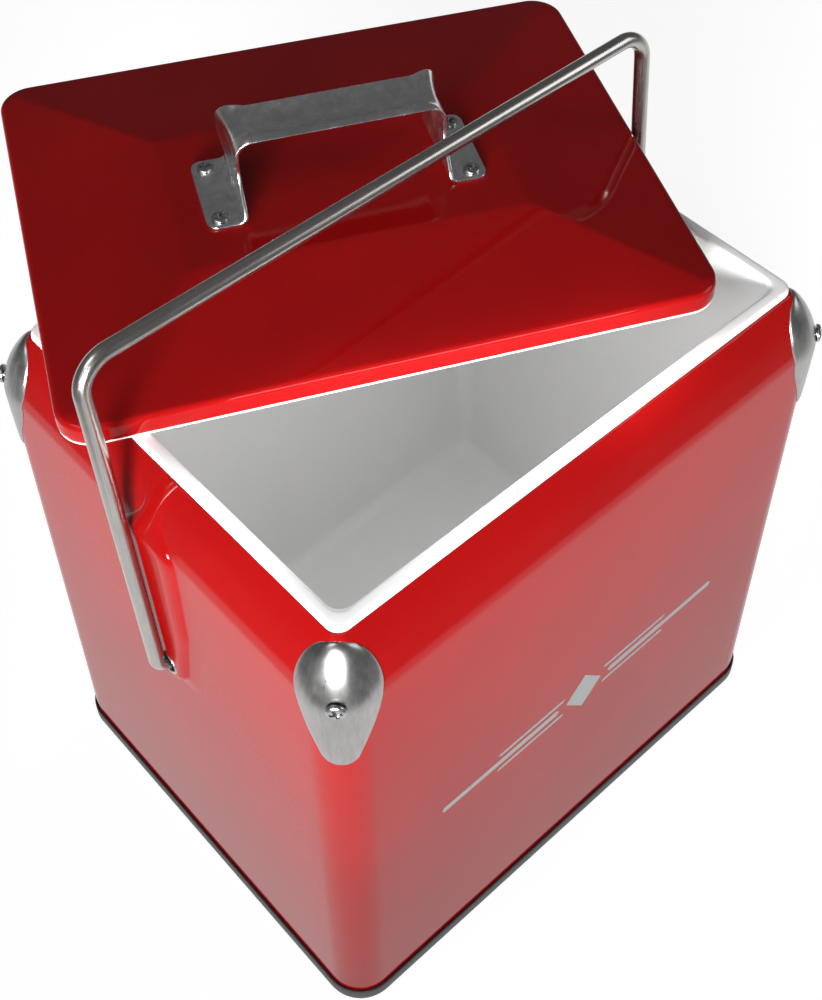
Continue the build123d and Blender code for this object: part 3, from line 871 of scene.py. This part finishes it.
guard_heads = []
for index, (sx, sy) in enumerate(CORNERS.values()):
    diagonal = Vector((sx, sy, 0)).normalized()
    origin = Vector((sx * (BODY_X - BODY_R), sy * (BODY_Y - BODY_R), GUARD_MIDDLE_Z)) + diagonal * 22.0
    place = frame_at(origin, diagonal, 20 + 37 * index)
    guard_heads.append(pan_head("head", place, 4.6, 2.4, 2.4, 11.0))
screws = joined(guard_heads, "guard_screw_heads")
fit(screws, screw_steel, "chest", "bright_steel", "guard_screws")

handle_heads = []
for index, (x, y) in enumerate([(a, b) for a in (-63.5, 63.5) for b in (-19.0, 19.0)]):
    origin = LID_MATRIX @ Vector((x, y, 21.85))
    place = Matrix.Translation(origin) @ Matrix.Rotation(math.radians(15 + 50 * index), 4, "Z")
    handle_heads.append(pan_head("head", place, 4.2, 2.0, 2.0, 9.5))
screws = joined(handle_heads, "handle_screw_heads")
fit(screws, screw_steel, "lid", "bright_steel", "handle_screws")


# ---------------------------------------------------------------- lid handle
HANDLE_THICK = 1.8
HANDLE_END_X, HANDLE_LEG_X, HANDLE_BAR_Z = 70.5, 51.4, 58.2
HANDLE_HALF, HANDLE_FOOT_HALF, HANDLE_HORN = 12.8, 25.5, 7.9
HANDLE_DISH = 3.6


def build_handle():
    """A bent strap: flat feet, a dished grip with a curled front edge, and flared rear corners."""
    foot_z = 20.0 + HANDLE_THICK / 2
    half_path = [(HANDLE_END_X, foot_z), (HANDLE_LEG_X, foot_z), (HANDLE_LEG_X, HANDLE_BAR_Z)]
    corners = [(-x, 0, z) for x, z in half_path] + [(x, 0, z) for x, z in reversed(half_path)]
    points = rounded_path(corners, (4.0, 7.0, 7.0, 4.0), 0.8)
    dense = [points[0]]
    for p in points[1:]:
        gap = (p - dense[-1]).length
        parts = max(1, int(round(gap / 1.5)))
        start = dense[-1].copy()
        for i in range(1, parts + 1):
            dense.append(start.lerp(p, i / parts))
    rows = []
    widths = np.linspace(-1, 1, 41)
    for i, p in enumerate(dense):
        before = dense[max(i - 1, 0)]
        after = dense[min(i + 1, len(dense) - 1)]
        tangent = (after - before).normalized()
        outward = Vector((-tangent.z, 0, tangent.x))
        if p.z < foot_z + 1:
            half = HANDLE_FOOT_HALF
            end = HANDLE_END_X - abs(p.x)
            if end < 5.0:
                half = HANDLE_FOOT_HALF - 5.0 + math.sqrt(max(25.0 - (5.0 - end) ** 2, 0.0))
        else:
            rise = min(max((p.z - foot_z - 1) / 34.0, 0.0), 1.0)
            half = HANDLE_HALF + 12.7 * (1 - smoothstep(rise * 1.4)) ** 1.6
        on_bar = smoothstep((50.0 - abs(p.x)) / 7.0) if p.z > HANDLE_BAR_Z - 8 else 0.0
        on_leg = smoothstep((p.z - foot_z - 3.0) / 24.0)
        flare = min(max((abs(p.x) - 40.0) / 11.4, 0.0), 1.0) ** 2 * on_leg
        row = []
        for w in widths:
            reach = half if w < 0 else max(half, HANDLE_HALF + HANDLE_HORN * flare)
            share = on_bar if w < 0 else max(on_bar, on_leg)
            curl = min(max((-w - 0.78) / 0.22, 0.0), 1.0) ** 1.6
            lift = HANDLE_DISH * (w * w * share - 0.15 * on_bar - 0.7 * curl * on_bar)
            row.append(p + Vector((0, reach * w, 0)) + outward * lift)
        rows.append(row)
    verts, faces = stack([[tuple(v) for v in row] for row in rows], closed=False)
    handle = make_mesh("handle_strap", verts, faces, 60.0, LID_MATRIX)
    apply(handle, "SOLIDIFY", thickness=HANDLE_THICK * MM, offset=0.0)
    apply(handle, "BEVEL", width=0.45 * MM, segments=3, limit_method="ANGLE", angle_limit=1.0)
    tidy(handle, 50.0)
    return handle


fit(build_handle(), handle_steel, "lid", "handle_steel", "lid_handle")


# ---------------------------------------------------------------- printed ornament on the front
def build_ornament():
    """A plain pinstripe with a diamond in the middle, as a thin print."""
    shapes = [
        [(0, 15), (13, 0), (0, -15), (-13, 0)],
        [(20, 2.2), (98, 2.2), (100, 0), (98, -2.2), (20, -2.2), (18, 0)],
        [(-20, 2.2), (-18, 0), (-20, -2.2), (-98, -2.2), (-100, 0), (-98, 2.2)],
        [(14, 8), (62, 8), (60, 5.6), (16, 5.6)],
        [(-14, 8), (-16, 5.6), (-60, 5.6), (-62, 8)],
        [(14, -8), (16, -5.6), (60, -5.6), (62, -8)],
        [(-14, -8), (-62, -8), (-60, -5.6), (-16, -5.6)],
    ]
    verts, faces = [], []
    for shape in shapes:
        for depth in (0.03, 0.1):
            verts += [(x, -BODY_Y - depth, 147.0 + z) for x, z in shape]
        count = len(shape)
        low = len(verts) - 2 * count
        faces.append(tuple(low + i for i in range(count)))
        faces.append(tuple(low + count + i for i in reversed(range(count))))
        for i in range(count):
            j = (i + 1) % count
            faces.append((low + i, low + count + i, low + count + j, low + j))
    return make_mesh("front_pinstripe", verts, faces, 30.0)


fit(build_ornament(), print_grey, "chest", "white_plastic")


# ---------------------------------------------------------------- stage
def build_floor():
    size = 4000.0
    verts = [(-size, -size, -0.05), (size, -size, -0.05), (size, size, -0.05), (-size, size, -0.05)]
    floor = make_mesh("floor", verts, [(0, 1, 2, 3)])
    made, tree, shader = material("floor")
    place = coordinates(tree, (1, 1, 1))
    tree.links.new(
        blend_colour(tree, noise(tree, place, 2.0), (0.4, 0.4, 0.402), (0.39, 0.39, 0.39)),
        shader.inputs["Base Color"],
    )
    parts = tree.nodes.new("ShaderNodeSeparateXYZ")
    tree.links.new(place, parts.inputs["Vector"])
    near = tree.nodes.new("ShaderNodeMath")
    near.operation = "MINIMUM"
    tree.links.new(parts.outputs["X"], near.inputs[0])
    tree.links.new(parts.outputs["Y"], near.inputs[1])
    glow = ramp(tree, near.outputs["Value"], 0.1, 0.82, -0.56, -0.5)
    tree.links.new(glow, shader.inputs["Emission Strength"])
    constants(shader, Roughness=0.6, Emission_Color=(1, 1, 1, 1))
    dress(floor, made)


build_floor()


def area_light(name, place, target, size, watts):
    data = bpy.data.lights.new(name, "AREA")
    data.shape = "RECTANGLE"
    data.size, data.size_y = size
    data.energy = watts
    lamp = bpy.data.objects.new(name, data)
    lamp.location = place
    lamp.rotation_euler = (Vector(target) - Vector(place)).to_track_quat("-Z", "Y").to_euler()
    bpy.context.scene.collection.objects.link(lamp)
    return lamp


key = area_light("key", (-1.15, -0.9, 0.55), (0, 0, 0.42), (0.7, 0.4), 5.0)
key.data.spread = math.radians(40)
area_light("left_box", (-1.3, 0.1, 1.9), (0, 0, 0.3), (0.9, 0.9), 8.2)
area_light("right_box", (1.3, -1.1, 1.2), (0, 0, 0.3), (0.9, 0.9), 6.5)
mouth = area_light("mouth", (-0.03, -0.073, 0.36), (-0.03, -0.0731, 0), (0.2, 0.035), 0.17)
mouth.rotation_euler = (0, 0, math.radians(-26))

world = bpy.data.worlds.new("studio")
world.use_nodes = True
world.node_tree.nodes["Background"].inputs["Color"].default_value = (0.125, 0.125, 0.128, 1)
world.node_tree.nodes["Background"].inputs["Strength"].default_value = 1.0
bpy.context.scene.world = world
bpy.context.scene.view_settings.view_transform = "Standard"

camera_data = bpy.data.cameras.new("camera")
camera_data.lens = 57.857
camera_data.sensor_width = 36.0
camera_data.shift_x = -0.01873
camera_data.shift_y = -0.18789
camera_data.clip_start = 0.05
camera = bpy.data.objects.new("camera", camera_data)
camera.location = (-0.355275, -0.396577, 0.881268)
camera.rotation_euler = [math.radians(a) for a in (44.03565, -0.08589, -42.52136)]
bpy.context.scene.collection.objects.link(camera)
bpy.context.scene.camera = camera

bpy.context.view_layer.update()
